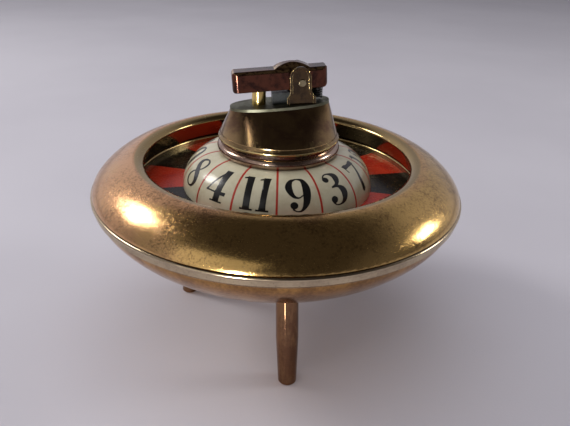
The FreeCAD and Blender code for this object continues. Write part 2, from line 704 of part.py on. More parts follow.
def pivot_pin():
    """Riveted pin through both brackets, the lever and the spark wheel."""
    inner = BRACKET_OUTER_Y - EMBOSS
    pin = along_y(PIN_R, inner)
    for side in (-1, 1):
        cap = Part.makeCylinder(RIVET_R, RIVET_HEAD, FreeCAD.Vector(PIVOT_U, side * inner, PIVOT_W),
                                FreeCAD.Vector(0, side, 0))
        outer = [edge for edge in cap.Edges if abs(edge.BoundBox.Center.y) > inner + RIVET_HEAD / 2]
        pin = pin.fuse(cap.makeFillet(RIVET_FILLET, outer))
    return single(on_head(pin))


# ---- lever and spark wheel ---------------------------------------------------------------------
LEVER_CORNER_R = 1.8
THUMB_CORNER_R = 1.5
ARM_CORNER_R = 0.7
SNUFFER_R = 2.7
SNUFFER_WALL = 0.3
SNUFFER_ROOF_Z = SEAM_Z + 30.6
CAVITY_HALF_WIDTH = 2.1
SHOULDER_WIDTH = 0.9     # the lever's rounded shoulders take this much off each side of its top
HUMP_OVERRUN = 0.2
PAWL_U = 3.3
PAWL_W = 7.4
PAWL_LENGTH = 1.4
PAWL_HEIGHT = 1.2
PAWL_GAP = 0.15          # between the catch and the spark wheel's side
TOOTH_DEPTH = 0.35


def rounded(left, right, half_width, radius):
    """Edges of a rounded rectangle in the plane W = 0, seen from above."""
    def at(u, y):
        return FreeCAD.Vector(u, y, 0)

    cut = radius * (1 - math.sqrt(0.5))
    inner = half_width - radius
    edges = []
    for side in (-1, 1):
        edges += straight(at(left + radius, side * half_width), at(right - radius, side * half_width))
        for end, inward in ((left, 1), (right, -1)):
            edges.append(bow(at(end, side * inner), at(end + inward * cut, side * (half_width - cut)),
                             at(end + inward * radius, side * half_width)))
    for u in (left, right):
        edges += straight(at(u, -inner), at(u, inner))
    return edges


def lever_side():
    """Outline of the lever seen from the front: arm, hump and thumb-piece, with rounded corners."""
    low, high, left, right = LEVER_BOTTOM_W, LEVER_TOP_W, LEVER_LEFT_U, LEVER_RIGHT_U
    arm, thumb, top = ARM_CORNER_R, THUMB_CORNER_R, LEVER_CHAMFER
    edges = [bow(point(HUMP_LEFT_U, high), point((HUMP_LEFT_U + HUMP_RIGHT_U) / 2, HUMP_TOP_W),
                 point(HUMP_RIGHT_U, high)),
             corner(left, low, -1, -1, arm), corner(right, low, 1, -1, thumb),
             corner(left, high, -1, 1, top), corner(right, high, 1, 1, top / 2)]
    edges += straight(point(left + arm, low), point(right - thumb, low))
    edges += straight(point(left, low + arm), point(left, high - top))
    edges += straight(point(right, low + thumb), point(right, high - top / 2))
    edges += straight(point(left + top, high), point(HUMP_LEFT_U, high))
    edges += straight(point(HUMP_RIGHT_U, high), point(right - top / 2, high))
    return edges


def lever_section():
    """Outline of the lever seen from its end: upright sides, rounded shoulders and a round back."""
    half, top, inset = LEVER_HALF_WIDTH, LEVER_TOP_W, SHOULDER_WIDTH
    brow = half - inset
    crest = HUMP_TOP_W + HUMP_OVERRUN
    cut = 1 - math.sqrt(0.5)

    def at(y, w):
        return FreeCAD.Vector(LEVER_LEFT_U, y, w)

    edges = [bow(at(-brow, top), at(0, crest), at(brow, top))]
    for side in (-1, 1):
        edges.append(bow(at(side * half, top - LEVER_CHAMFER),
                         at(side * (half - inset * cut), top - LEVER_CHAMFER * cut), at(side * brow, top)))
        edges += straight(at(side * half, 0), at(side * half, top - LEVER_CHAMFER))
    return edges + straight(at(-half, 0), at(half, 0))


def lever_blank():
    """The lever before it is hollowed: snuffer arm, hump over the wheel and thumb-piece."""
    length = LEVER_RIGHT_U - LEVER_LEFT_U
    side = plate_across(lever_side(), -LEVER_HALF_WIDTH, LEVER_HALF_WIDTH)
    plan = rounded(LEVER_LEFT_U, LEVER_RIGHT_U, LEVER_HALF_WIDTH, LEVER_CORNER_R)
    block = Part.Face(Part.Wire(Part.__sortEdges__(plan))).extrude(FreeCAD.Vector(0, 0, BIG))
    section = Part.Face(Part.Wire(Part.__sortEdges__(lever_section())))
    return side.common(block).common(section.extrude(FreeCAD.Vector(length, 0, 0)))


def rocker_lever():
    """Rocking lever, hollow over the spark wheel and bored for the snuffer cap."""
    lever = lever_blank().cut(along_y(WHEEL_CAVITY_R, CAVITY_HALF_WIDTH))
    lever = lever.cut(along_y(PIN_R + RUNNING_CLEARANCE, LEVER_HALF_WIDTH))
    return single(on_head(lever).cut(wick_post(SNUFFER_R, HEAD_Z, SNUFFER_ROOF_Z)))


def snuffer_cap():
    """Thin cap in the arm that shuts over the wick."""
    cap = on_head(lever_blank()).common(wick_post(SNUFFER_R, HEAD_Z, SNUFFER_ROOF_Z))
    return single(cap.cut(wick_post(SNUFFER_R - SNUFFER_WALL, HEAD_Z, SNUFFER_ROOF_Z - SNUFFER_WALL)))


def wheel_pawl():
    """Catch on the lever's wall that drives the spark wheel."""
    wheel_side = SPARK_WHEEL_WIDTH / 2 + PAWL_GAP
    pawl = Part.makeBox(PAWL_LENGTH, CAVITY_HALF_WIDTH - wheel_side, PAWL_HEIGHT,
                        FreeCAD.Vector(PAWL_U, wheel_side, PAWL_W))
    return single(on_head(pawl))


def spark_wheel():
    """Toothed steel wheel that strikes the flint."""
    root_r = SPARK_WHEEL_R - TOOTH_DEPTH
    points = []
    for step in range(2 * SPARK_TEETH + 1):
        angle = math.pi * step / SPARK_TEETH
        radius = SPARK_WHEEL_R if step % 2 == 0 else root_r
        points.append(point(PIVOT_U + radius * math.cos(angle), PIVOT_W + radius * math.sin(angle)))
    half = SPARK_WHEEL_WIDTH / 2
    wheel = plate_across(straight(*points), -half, half)
    return single(on_head(wheel.cut(along_y(PIN_R + RUNNING_CLEARANCE, half))))


LEVER_SPRING_X = 10.9
LEVER_SPRING_R = 1.4
LEVER_WIRE_R = 0.35
LEVER_SPRING_TURNS = 4
LEVER_SPRING_GAP = 0.4   # from each end of the spring to the surface it pushes on


def lever_spring():
    """Spring under the thumb-piece that shuts the lever."""
    low = head_point(LEVER_SPRING_X, 0, 0).z + LEVER_SPRING_GAP
    high = head_point(LEVER_SPRING_X, 0, LEVER_BOTTOM_W).z - LEVER_SPRING_GAP
    pitch = (high - low - 2 * LEVER_WIRE_R) / LEVER_SPRING_TURNS
    return coil(LEVER_SPRING_R, LEVER_WIRE_R, pitch, LEVER_SPRING_TURNS, LEVER_SPRING_X, low)


# ---- nodes -------------------------------------------------------------------------------------
save("lower_shell", lower_shell())
save("upper_shell", upper_shell())
LEG = leg()
for number, angle in enumerate(leg_angles(), start=1):
    save("leg_" + str(number), turned(LEG, angle))
save("leg_screws", leg_screws())
save("leg_washers", leg_washers())
save("spindle", spindle())
save("spindle_washer", ring(STUD_R, SPINDLE_WASHER_R, SEAT_Z - WASHER, SEAT_Z))
save("spindle_nut", single(hexagon(NUT_FLATS, SEAT_Z - WASHER - NUT_HEIGHT, NUT_HEIGHT, STUD_R)))
save("thrust_washer", ring(SPINDLE_R, BUSH_R, SHOULDER_Z, SHOULDER_Z + THRUST_WASHER))
save("hub_washer", ring(HUB_SCREW_R, HUB_WASHER_R, SPINDLE_TOP_Z, SPINDLE_TOP_Z + HUB_WASHER))
save("hub_screw", hub_screw())

save("wheel_plate", ring(CUP_R, DISC_R, PLATE_Z, PLATE_Z + PLATE_THICKNESS))
save("printed_disc", ring(CUP_R, DISC_R, DISC_Z - DISC_THICKNESS, DISC_Z))
save("rim_bead", rim_bead())
save("number_dome", number_dome())
save("collar_ring", collar_ring())
save("lighter_cup", lighter_cup())
save("hub_bush", hub_bush())

save("lighter_housing", lighter_housing())
save("top_plate", top_plate())
save("fuel_tank", fuel_tank())
save("fuel_wadding", fuel_wadding())
save("wick", wick_post(WICK_R, WICK_BOTTOM_Z, WICK_TUBE_TOP_Z + WICK_PROUD))
save("wick_tube", ring(WICK_R, WICK_TUBE_R, TANK_TOP_Z - TANK_WALL, WICK_TUBE_TOP_Z, WICK_X))
save("filler_screw", filler_screw())
save("filler_gasket", ring(FILLER_R, GASKET_R, TANK_BOTTOM_Z - GASKET, TANK_BOTTOM_Z, FILLER_X))
save("flint_tube", ring(FLINT_BORE_R, FLINT_TUBE_R, TANK_BOTTOM_Z, FLINT_TUBE_TOP_Z, PIVOT.x))
save("flint_screw", flint_screw())
save("flint_spring", flint_spring())
save("flint", flint_post(FLINT_R, FLINT_TOP_Z - FLINT_LENGTH, FLINT_TOP_Z))
save("flint_block", flint_block())
save("front_bracket", front_bracket())
save("rear_bracket", front_bracket().mirror(ORIGIN, AXIS_Y))
save("pivot_pin", pivot_pin())
save("lever_spring", lever_spring())

save("rocker_lever", rocker_lever())
save("snuffer_cap", snuffer_cap())
save("wheel_pawl", wheel_pawl())
save("spark_wheel", spark_wheel())
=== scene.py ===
import bpy
import math
from mathutils import Matrix, Vector
from mathutils.geometry import delaunay_2d_cdt


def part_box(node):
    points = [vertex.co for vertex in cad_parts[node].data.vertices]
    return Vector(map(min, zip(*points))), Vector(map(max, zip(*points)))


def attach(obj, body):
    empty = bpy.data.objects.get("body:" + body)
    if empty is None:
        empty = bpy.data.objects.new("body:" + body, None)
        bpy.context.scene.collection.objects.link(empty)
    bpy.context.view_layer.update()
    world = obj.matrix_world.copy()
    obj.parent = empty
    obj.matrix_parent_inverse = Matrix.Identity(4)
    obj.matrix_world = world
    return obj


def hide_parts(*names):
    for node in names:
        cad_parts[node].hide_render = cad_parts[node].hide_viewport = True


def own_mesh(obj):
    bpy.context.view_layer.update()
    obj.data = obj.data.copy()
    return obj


# Looks of the roulette-wheel table lighter: finishes, printed numbers, light and camera.
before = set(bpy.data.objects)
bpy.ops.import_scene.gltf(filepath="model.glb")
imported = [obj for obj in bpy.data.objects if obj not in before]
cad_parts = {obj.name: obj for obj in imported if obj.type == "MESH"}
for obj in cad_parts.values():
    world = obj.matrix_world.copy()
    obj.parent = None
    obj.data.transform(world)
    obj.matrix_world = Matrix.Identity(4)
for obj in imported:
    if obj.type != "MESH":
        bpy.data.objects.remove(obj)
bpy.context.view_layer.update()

MM = 0.001
FULL = 2 * math.pi

# The camera stands in front of the object, which is turned a little on the table.
OBJECT_TURN = math.radians(8.0)
CAMERA_PLACE = (2.8, -163.8, 123.3)   # mm, before the turn
CAMERA_PITCH = math.radians(27.13)
CAMERA_ROLL = math.radians(2.12)
CAMERA_LENS = 36.0


# ---- finishes ---------------------------------------------------------------------------------
class Graph:
    """A node tree being built."""

    def __init__(self, tree):
        self.tree = tree

    def node(self, kind, **settings):
        """Add a node and set its properties."""
        made = self.tree.nodes.new(kind)
        for key, value in settings.items():
            setattr(made, key, value)
        return made

    def feed(self, socket, value):
        """Give a socket either another socket's value or a plain one."""
        if isinstance(value, bpy.types.NodeSocket):
            self.tree.links.new(value, socket)
        else:
            socket.default_value = value

    def scaled(self, vector, sizes, turn=(0, 0, 0)):
        """A vector turned and then scaled along each axis."""
        mapping = self.node("ShaderNodeMapping")
        self.feed(mapping.inputs["Vector"], vector)
        self.feed(mapping.inputs["Rotation"], turn)
        self.feed(mapping.inputs["Scale"], sizes)
        return mapping.outputs["Vector"]

    def math(self, operation, first, second=0.0):
        """One arithmetic step."""
        step = self.node("ShaderNodeMath", operation=operation)
        self.feed(step.inputs[0], first)
        self.feed(step.inputs[1], second)
        return step.outputs[0]

    def between(self, value, low, high):
        """0 below low, 1 above high and smooth between; the other way round if low is above high."""
        step = self.node("ShaderNodeMapRange", interpolation_type="SMOOTHSTEP")
        self.feed(step.inputs["Value"], value)
        if low < high:
            ends = (low, high, 0.0, 1.0)
        else:
            ends = (high, low, 1.0, 0.0)
        for socket, end in zip(("From Min", "From Max", "To Min", "To Max"), ends):
            self.feed(step.inputs[socket], end)
        return step.outputs["Result"]

    def spread(self, value, low, high):
        """A 0 to 1 value stretched to the range from low to high."""
        step = self.node("ShaderNodeMapRange")
        self.feed(step.inputs["Value"], value)
        self.feed(step.inputs["To Min"], low)
        self.feed(step.inputs["To Max"], high)
        return step.outputs["Result"]

    def blend(self, share, first, second):
        """Colour first where share is 0, second where it is 1."""
        mix = self.node("ShaderNodeMix", data_type="RGBA")
        colours = [socket for socket in mix.inputs if socket.type == "RGBA"]
        self.feed(mix.inputs[0], share)
        for socket, colour in zip(colours, (first, second)):
            if isinstance(colour, tuple):
                colour = colour + (1.0,)
            self.feed(socket, colour)
        return [socket for socket in mix.outputs if socket.type == "RGBA"][0]

    def total(self, *layers):
        """The sum of several (value, weight) layers."""
        total = 0.0
        for value, weight in layers:
            total = self.math("ADD", total, self.math("MULTIPLY", value, weight))
        return total

    def rounded(self, radius):
        """Normals as if sharp edges were rounded off with this radius in mm."""
        bevel = self.node("ShaderNodeBevel", samples=4)
        self.feed(bevel.inputs["Radius"], radius * MM)
        return bevel.outputs["Normal"]

    def on_edges(self, rounded):
        """From 0 on a face to 1 on a sharp edge, given the rounded normals."""
        flat = self.node("ShaderNodeNewGeometry").outputs["Normal"]
        compare = self.node("ShaderNodeVectorMath", operation="DOT_PRODUCT")
        self.feed(compare.inputs[0], rounded)
        self.feed(compare.inputs[1], flat)
        return self.between(compare.outputs["Value"], 0.99, 0.9)

    def on_shoulders(self):
        """From 0 on level and upright faces to 1 half way between, as on a rounded upper edge."""
        upward = self.part(self.node("ShaderNodeTexCoord").outputs["Normal"], "Z")
        return self.math("MULTIPLY", self.between(upward, 0.12, 0.4), self.between(upward, 0.97, 0.8))

    def part(self, vector, name):
        """One coordinate of a vector."""
        parts = self.node("ShaderNodeSeparateXYZ")
        self.feed(parts.inputs[0], vector)
        return parts.outputs[name]


class Finish(Graph):
    """A material: its shader, and the nodes that feed it. Places are in millimetres."""

    def __init__(self, name, **sockets):
        self.material = bpy.data.materials.new("finish_" + name)
        self.material.use_nodes = True
        super().__init__(self.material.node_tree)
        self.shader = self.tree.nodes["Principled BSDF"]
        for key, value in sockets.items():
            self.shader.inputs[key.replace("_", " ")].default_value = value
        where = self.node("ShaderNodeTexCoord").outputs["Object"]
        self.place = self.scaled(where, (1 / MM, 1 / MM, 1 / MM))

    def noise(self, size, detail=3.0, roughness=0.55, distortion=0.0, at=None):
        """Cloudy noise whose patches are about size mm across."""
        texture = self.node("ShaderNodeTexNoise")
        self.feed(texture.inputs["Vector"], at or self.place)
        self.feed(texture.inputs["Scale"], 1 / size)
        self.feed(texture.inputs["Detail"], detail)
        self.feed(texture.inputs["Roughness"], roughness)
        self.feed(texture.inputs["Distortion"], distortion)
        return texture.outputs[0]

    def spots(self, size, at=None):
        """Distance to the nearest of many scattered points about size mm apart."""
        texture = self.node("ShaderNodeTexVoronoi", feature="F1")
        self.feed(texture.inputs["Vector"], at or self.place)
        self.feed(texture.inputs["Scale"], 1 / size)
        return texture.outputs["Distance"]

    def radius(self):
        """Distance from the object's upright axis, in mm."""
        flat = self.node("ShaderNodeVectorMath", operation="MULTIPLY")
        self.feed(flat.inputs[0], self.place)
        self.feed(flat.inputs[1], (1.0, 1.0, 0.0))
        length = self.node("ShaderNodeVectorMath", operation="LENGTH")
        self.feed(length.inputs[0], flat.outputs[0])
        return length.outputs["Value"]

    def height(self):
        """Height above the floor, in mm."""
        return self.part(self.place, "Z")

    def towards(self, azimuth):
        """How far a place lies from the middle in one direction about the axis, in mm."""
        dot = self.node("ShaderNodeVectorMath", operation="DOT_PRODUCT")
        self.feed(dot.inputs[0], self.place)
        angle = math.radians(azimuth)
        self.feed(dot.inputs[1], (math.cos(angle), math.sin(angle), 0.0))
        return dot.outputs["Value"]

    def scratches(self, size, amount, turns):
        """Hairline scratches that run in several directions: 1 on a scratch and 0 elsewhere."""
        total = 0.0
        for number, turn in enumerate(turns):
            grain = self.scaled(self.place, (1.0, 14.0, 5.0), (0.3 * number, 0.2, math.radians(turn)))
            lines = self.noise(size, 2.0, 0.5, 0.3, at=grain)
            line = self.between(lines, 0.5 + amount, 0.5 + amount + 0.06)
            total = self.math("MAXIMUM", total, line)
        return total

    def relief(self, *layers, base=None):
        """Normals of a surface raised by several (height from 0 to 1, depth in mm) layers."""
        total = 0.0
        for height, depth in layers:
            total = self.math("ADD", total, self.math("MULTIPLY", height, depth))
        step = self.node("ShaderNodeBump")
        self.feed(step.inputs["Height"], total)
        self.feed(step.inputs["Distance"], MM)
        self.feed(step.inputs["Strength"], 1.0)
        if base is not None:
            self.feed(step.inputs["Normal"], base)
        return step.outputs["Normal"]

    def finish(self, colour=None, roughness=None, normal=None):
        """Connect what was worked out to the shader."""
        for socket, value in (("Base Color", colour), ("Roughness", roughness), ("Normal", normal)):
            if value is not None:
                self.feed(self.shader.inputs[socket], value)
        return self.material


HOUSING_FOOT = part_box("lighter_housing")[0].z / MM


def aged_metal(name, bright, dull, stain, smooth, rough, patch=9.0, grain=0.008, streak=0.0, rubbed_and_highlight=None):
    """Old polished metal: cloudy tarnish, pits, hairline scratches, and optionally gold on edges and upward
    slopes, partly rubbed wear and partly painted highlight.
    """
    finish = Finish(name, Metallic=1.0)
    cloud = finish.noise(patch, 5.0, 0.62, 0.4)
    fine = finish.noise(0.9, 4.0, 0.6)
    run = finish.noise(0.7, 3.0, 0.6, at=finish.scaled(finish.place, (1.0, 1.0, 0.04)))
    tarnish = finish.total((cloud, 1.0), (fine, 0.25), (finish.math("SUBTRACT", run, 0.5), streak))
    tarnish = finish.between(tarnish, 0.52, 0.76)
    colour = finish.blend(tarnish, bright, dull)
    speck = finish.between(finish.spots(0.9), 0.25, 0.05)
    where = finish.between(finish.noise(3.5, 2.0), 0.5, 0.66)
    pit = finish.math("MULTIPLY", finish.math("MULTIPLY", speck, where), 0.4)
    colour = finish.blend(pit, colour, stain)
    rounded = None
    # Edges and faces sloping up are coloured gold: partly rubbed wear, partly a painted highlight where they
    # would catch light.
    if rubbed_and_highlight is not None:
        rounded = finish.rounded(0.25)
        edges = finish.math("MAXIMUM", finish.on_edges(rounded), finish.on_shoulders())
        wear_and_highlight = finish.math("MULTIPLY", edges, finish.between(fine, 0.36, 0.56))
        colour = finish.blend(wear_and_highlight, colour, rubbed_and_highlight)
    hair = finish.scratches(2.6, 0.17, (12, 75, 141))
    gloss = finish.spread(finish.total((tarnish, 0.7), (fine, 0.3)), smooth, rough)
    gloss = finish.total((gloss, 1.0), (pit, 0.3), (hair, 0.08))
    normal = finish.relief((fine, grain), (pit, -0.01), (hair, -0.003), base=rounded)
    return finish.finish(colour, gloss, normal)


def housing_bronze():
    """The lighter's housing: smooth dark bronze, with a painted highlight of gold along its foot bead."""
    finish = Finish("housing_bronze", Metallic=1.0)
    cloud = finish.noise(6.0, 5.0, 0.62, 0.4)
    fine = finish.noise(0.8, 4.0, 0.6)
    foot_highlight = finish.between(finish.height(), HOUSING_FOOT + 0.85, HOUSING_FOOT + 0.65)
    low = finish.between(finish.height(), HOUSING_FOOT + 4.5, HOUSING_FOOT + 0.5)
    tarnish = finish.between(finish.total((cloud, 1.0), (fine, 0.3), (low, -0.12)), 0.5, 0.8)
    colour = finish.blend(tarnish, (0.32, 0.21, 0.1), (0.19, 0.11, 0.065))
    rubs = finish.between(finish.total((fine, 1.0), (cloud, 0.5)), 0.76, 0.95)
    scuffs = finish.math("MULTIPLY", low, rubs)
    colour = finish.blend(scuffs, colour, (0.55, 0.42, 0.18))
    # Painted highlight: the foot bead is coloured bright gold.
    colour = finish.blend(foot_highlight, colour, (0.62, 0.49, 0.22))
    hair = finish.scratches(2.4, 0.17, (20, 70, 120))
    gloss = finish.total((finish.spread(cloud, 0.08, 0.26), 1.0), (scuffs, 0.08), (hair, 0.06))
    return finish.finish(colour, gloss, finish.relief((fine, 0.003), (hair, -0.002)))


def crown_brass():
    """The crown: gold where it is rubbed, coppery on the left and round the mouth, smoother inside, where
    painted shade makes it darker.
    """
    finish = Finish("crown_brass", Metallic=1.0)
    around = finish.radius()
    inner = finish.between(around, 43.2, 42.4)
    outer = finish.math("SUBTRACT", 1.0, inner)
    near_mouth = finish.between(around, 48.5, 43.6)
    cloud = finish.noise(11.0, 5.0, 0.6, 0.3)
    dapple = finish.noise(2.6, 4.0, 0.6, 0.2)
    fine = finish.noise(0.6, 4.0, 0.65)
    grains = finish.noise(0.35, 3.0, 0.7)
    to_left = finish.between(finish.towards(178.0), 5.0, 48.0)
    copper = finish.between(finish.total((to_left, 0.6), (near_mouth, 0.35), (cloud, 0.7)), 0.5, 1.0)
    colour = finish.blend(copper, (0.68, 0.44, 0.16), (0.68, 0.38, 0.19))
    bronze = finish.between(finish.total((fine, 0.8), (cloud, 0.6), (dapple, 0.3)), 0.79, 1.09)
    colour = finish.blend(finish.math("MULTIPLY", bronze, 0.8), colour, (0.19, 0.1, 0.04))
    speck = finish.between(finish.spots(0.8), 0.26, 0.08)
    where = finish.between(finish.noise(4.0, 3.0), 0.48, 0.6)
    pit = finish.math("MULTIPLY", speck, where)
    colour = finish.blend(finish.math("MULTIPLY", pit, 0.8), colour, (0.1, 0.05, 0.025))
    # Painted shade: inside the mouth the brass is coloured darker.
    colour = finish.blend(inner, colour, (0.38, 0.27, 0.12))
    hair = finish.scratches(2.2, 0.16, (8, 52, 97, 150))
    gloss = finish.spread(finish.total((fine, 0.5), (cloud, 0.5)), 0.04, 0.3)
    gloss = finish.total((gloss, 1.0), (copper, 0.04), (pit, 0.2), (inner, -0.08))
    normal = finish.relief((finish.math("MULTIPLY", fine, outer), 0.011),
                           (finish.math("MULTIPLY", dapple, outer), 0.026), (grains, 0.003),
                           (finish.math("MULTIPLY", pit, outer), -0.005), (hair, -0.004))
    return finish.finish(colour, gloss, normal)


BAND_FOOT = 47.8         # height of the lower edge of the bowl's straight band, in mm


def bowl_brass():
    """The bowl: a pale drawn band with level tool lines over a reddish-brown body."""
    finish = Finish("bowl_brass", Metallic=1.0)
    band = finish.between(finish.height(), BAND_FOOT - 0.15, BAND_FOOT + 0.1)
    cloud = finish.noise(8.0, 5.0, 0.62, 0.4)
    fine = finish.noise(0.9, 4.0, 0.6)
    level = finish.noise(0.35, 3.0, 0.6, at=finish.scaled(finish.place, (0.02, 0.02, 1.0)))
    tarnish = finish.between(finish.total((cloud, 0.8), (fine, 0.4)), 0.5, 0.78)
    body = finish.blend(tarnish, (0.5, 0.27, 0.09), (0.26, 0.13, 0.05))
    lip = finish.blend(tarnish, (0.56, 0.45, 0.3), (0.4, 0.31, 0.21))
    colour = finish.blend(band, body, lip)
    speck = finish.between(finish.spots(0.8), 0.24, 0.06)
    colour = finish.blend(finish.math("MULTIPLY", speck, 0.5), colour, (0.12, 0.07, 0.04))
    gloss = finish.spread(finish.total((tarnish, 0.6), (fine, 0.4)), 0.1, 0.3)
    lines = finish.math("MULTIPLY", level, band)
    return finish.finish(colour, gloss, finish.relief((fine, 0.01), (lines, 0.012), (speck, -0.008)))


def enamel(name, colour, other, gloss, coat=0.6, shine=0.45):
    """Glossy stoved enamel or ink, with faint mottling and rubbed spots."""
    finish = Finish(name, Coat_Weight=coat, Coat_Roughness=0.16, Specular_IOR_Level=shine)
    cloud = finish.noise(4.5, 5.0, 0.6)
    fine = finish.noise(0.5, 3.0)
    tint = finish.blend(finish.between(cloud, 0.42, 0.68), colour, other)
    rough = finish.spread(finish.total((cloud, 0.5), (fine, 0.5)), gloss - 0.08, gloss + 0.12)
    return finish.finish(tint, rough, finish.relief((fine, 0.004), (cloud, 0.01)))


def plain_solid(name, colour, other, rough, size, depth, **sockets):
    """A dull solid such as rubber or cotton."""
    finish = Finish(name, **sockets)
    cloud = finish.noise(size, 5.0, 0.65)
    tint = finish.blend(finish.between(cloud, 0.35, 0.7), colour, other)
    gloss = finish.spread(cloud, rough - 0.1, rough + 0.1)
    return finish.finish(tint, gloss, finish.relief((cloud, depth)))


# Aged metals: the bright, dull and stained colours, and the smoothest and roughest patches.
FINISHES = {
    "crown_brass": crown_brass(),
    "bowl_brass": bowl_brass(),
    "housing_bronze": housing_bronze(),
    "leg_brass": aged_metal("leg_brass", (0.27, 0.145, 0.075), (0.17, 0.085, 0.048), (0.08, 0.04, 0.03),
                            0.05, 0.12, patch=12.0, streak=0.4, grain=0.002),
    "plated_steel": aged_metal("plated_steel", (0.5, 0.5, 0.51), (0.36, 0.35, 0.34), (0.1, 0.09, 0.08),
                               0.25, 0.5),
    "plain_brass": aged_metal("plain_brass", (0.62, 0.46, 0.22), (0.45, 0.31, 0.15), (0.1, 0.07, 0.04),
                              0.2, 0.4),
    "rim_brass": aged_metal("rim_brass", (0.45, 0.34, 0.16), (0.25, 0.18, 0.08), (0.08, 0.05, 0.03),
                            0.1, 0.26),
    "collar_brass": aged_metal("collar_brass", (0.45, 0.33, 0.26), (0.3, 0.2, 0.15), (0.1, 0.06, 0.05),
                               0.12, 0.26),
    "head_patina": aged_metal("head_patina", (0.2, 0.2, 0.145), (0.13, 0.13, 0.09), (0.05, 0.05, 0.04),
                              0.42, 0.6, patch=5.0),
    "tube_brass": aged_metal("tube_brass", (0.7, 0.5, 0.18), (0.5, 0.33, 0.12), (0.12, 0.08, 0.04),
                             0.16, 0.3),
    "spring_steel": aged_metal("spring_steel", (0.1, 0.1, 0.1), (0.05, 0.05, 0.05), (0.03, 0.02, 0.02),
                               0.3, 0.5),
    "flint_alloy": aged_metal("flint_alloy", (0.2, 0.2, 0.22), (0.12, 0.12, 0.13), (0.04, 0.04, 0.04),
                              0.5, 0.7),
    "dark_steel": aged_metal("dark_steel", (0.1, 0.11, 0.11), (0.06, 0.06, 0.06), (0.03, 0.03, 0.03),
                             0.3, 0.5, patch=4.0),
    # Bracket and lever: the last colour is gold painted on edges and upward slopes, partly rubbed wear and
    # partly painted highlight.
    "bracket_bronze": aged_metal("bracket_bronze", (0.1, 0.065, 0.035), (0.06, 0.042, 0.028),
                                 (0.05, 0.04, 0.03), 0.1, 0.24, patch=3.0, rubbed_and_highlight=(0.85, 0.64, 0.28)),
    "pin_steel": aged_metal("pin_steel", (0.34, 0.28, 0.17), (0.22, 0.18, 0.11), (0.1, 0.09, 0.07),
                            0.2, 0.36, patch=2.0),
    "lever_copper": aged_metal("lever_copper", (0.12, 0.045, 0.028), (0.035, 0.018, 0.015),
                               (0.03, 0.015, 0.012), 0.06, 0.18, patch=6.0, rubbed_and_highlight=(0.6, 0.4, 0.19)),
    "printed_tin": enamel("printed_tin", (0.02, 0.02, 0.02), (0.03, 0.028, 0.026), 0.25),
    "cream_enamel": enamel("cream_enamel", (0.6, 0.56, 0.4), (0.53, 0.48, 0.33), 0.22, 0.25),
    "gasket_rubber": plain_solid("gasket_rubber", (0.02, 0.02, 0.02), (0.035, 0.035, 0.033), 0.7, 0.8, 0.05),
    "cotton": plain_solid("cotton", (0.62, 0.58, 0.48), (0.45, 0.4, 0.32), 0.9, 0.7, 0.2, Sheen_Weight=0.3),
}
BLACK_INK = enamel("black_ink", (0.006, 0.006, 0.006), (0.012, 0.011, 0.01), 0.3, 0.2)
RED_LINE_INK = enamel("red_line_ink", (0.45, 0.035, 0.02), (0.36, 0.03, 0.018), 0.3, 0.2)
DISC_RED_INK = enamel("disc_red_ink", (0.42, 0.032, 0.013), (0.32, 0.02, 0.01), 0.25, 0.04, shine=0.2)
DISC_BLACK_INK = enamel("disc_black_ink", (0.006, 0.005, 0.004), (0.013, 0.01, 0.008), 0.25, 0.04, shine=0.2)

for node_name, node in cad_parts.items():
    slot_name = node.material_slots[0].material.name
    node.material_slots[0].material = FINISHES[slot_name]


# ---- pieces -----------------------------------------------------------------------------------
def add_piece(name, points, faces, material, body):
    """A mesh piece given in mm, which rides on a body."""
    mesh = bpy.data.meshes.new(name)
    mesh.from_pydata([Vector(p) * MM for p in points], [], faces)
    mesh.validate()
    mesh.polygons.foreach_set("use_smooth", [True] * len(mesh.polygons))
    mesh.set_sharp_from_angle(angle=math.radians(40))
    mesh.materials.append(material)
    piece = bpy.data.objects.new(name, mesh)
    bpy.context.scene.collection.objects.link(piece)
    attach(piece, body)
    return piece


DOME_LOW, DOME_HIGH = (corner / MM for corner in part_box("number_dome"))
DOME_TOP_R = 17.5
DOME_REACH = DOME_HIGH.x - DOME_TOP_R        # the dome's outline is a quarter of an ellipse,
DOME_RISE = DOME_HIGH.z - DOME_LOW.z         # this far across and this high
SECTORS = 14
FIRST_LINE = math.radians(-88.9) - OBJECT_TURN
NUMBERS = (9, 3, 7, 12, 5, 2, 10, 6, 1, 13, 0, 8, 4, 11)
NUMERAL_HEIGHT = 10.0
NUMERAL_STRETCH = 1.08                       # a single digit is this much wider than its outline
NUMERAL_WEIGHT = 1.2                         # strokes are this much heavier than their outlines
NUMERAL_FOOT = math.radians(17.5)            # how far up the dome's curve the numbers stand
DIGIT_GAP = 0.09                             # between two digits, as a share of their height
NARROWED = 0.78                              # how far two digits are squeezed to fit a sector
INK_PROUD = 0.03
INK_SUNK = -0.04


def dome_radius(climb):
    """The dome's radius at a place up its curve."""
    return DOME_TOP_R + DOME_REACH * math.cos(climb)


def on_dome(angle, climb, lift):
    """A point on the dome: angle about the axis, climb up its curve, lift off the surface."""
    out = Vector((DOME_RISE * math.cos(climb), DOME_REACH * math.sin(climb))).normalized() * lift
    radius = dome_radius(climb) + out.x
    height = DOME_LOW.z + DOME_RISE * math.sin(climb) + out.y
    return (radius * math.cos(angle), radius * math.sin(angle), height)


def smooth_stroke(knots, steps=7):
    """Points (x, y, width) of a smooth curve through the knots."""
    knots = [Vector(k) for k in knots]
    padded = [2 * knots[0] - knots[1]] + knots + [2 * knots[-1] - knots[-2]]
    points = []
    for before, start, end, after in zip(padded, padded[1:], padded[2:], padded[3:]):
        for step in range(steps):
            t = step / steps
            points.append(0.5 * (2 * start + (end - before) * t
                                 + (2 * before - 5 * start + 4 * end - after) * t ** 2
                                 + (3 * start - before - 3 * end + after) * t ** 3))
    points.append(knots[-1])
    return points


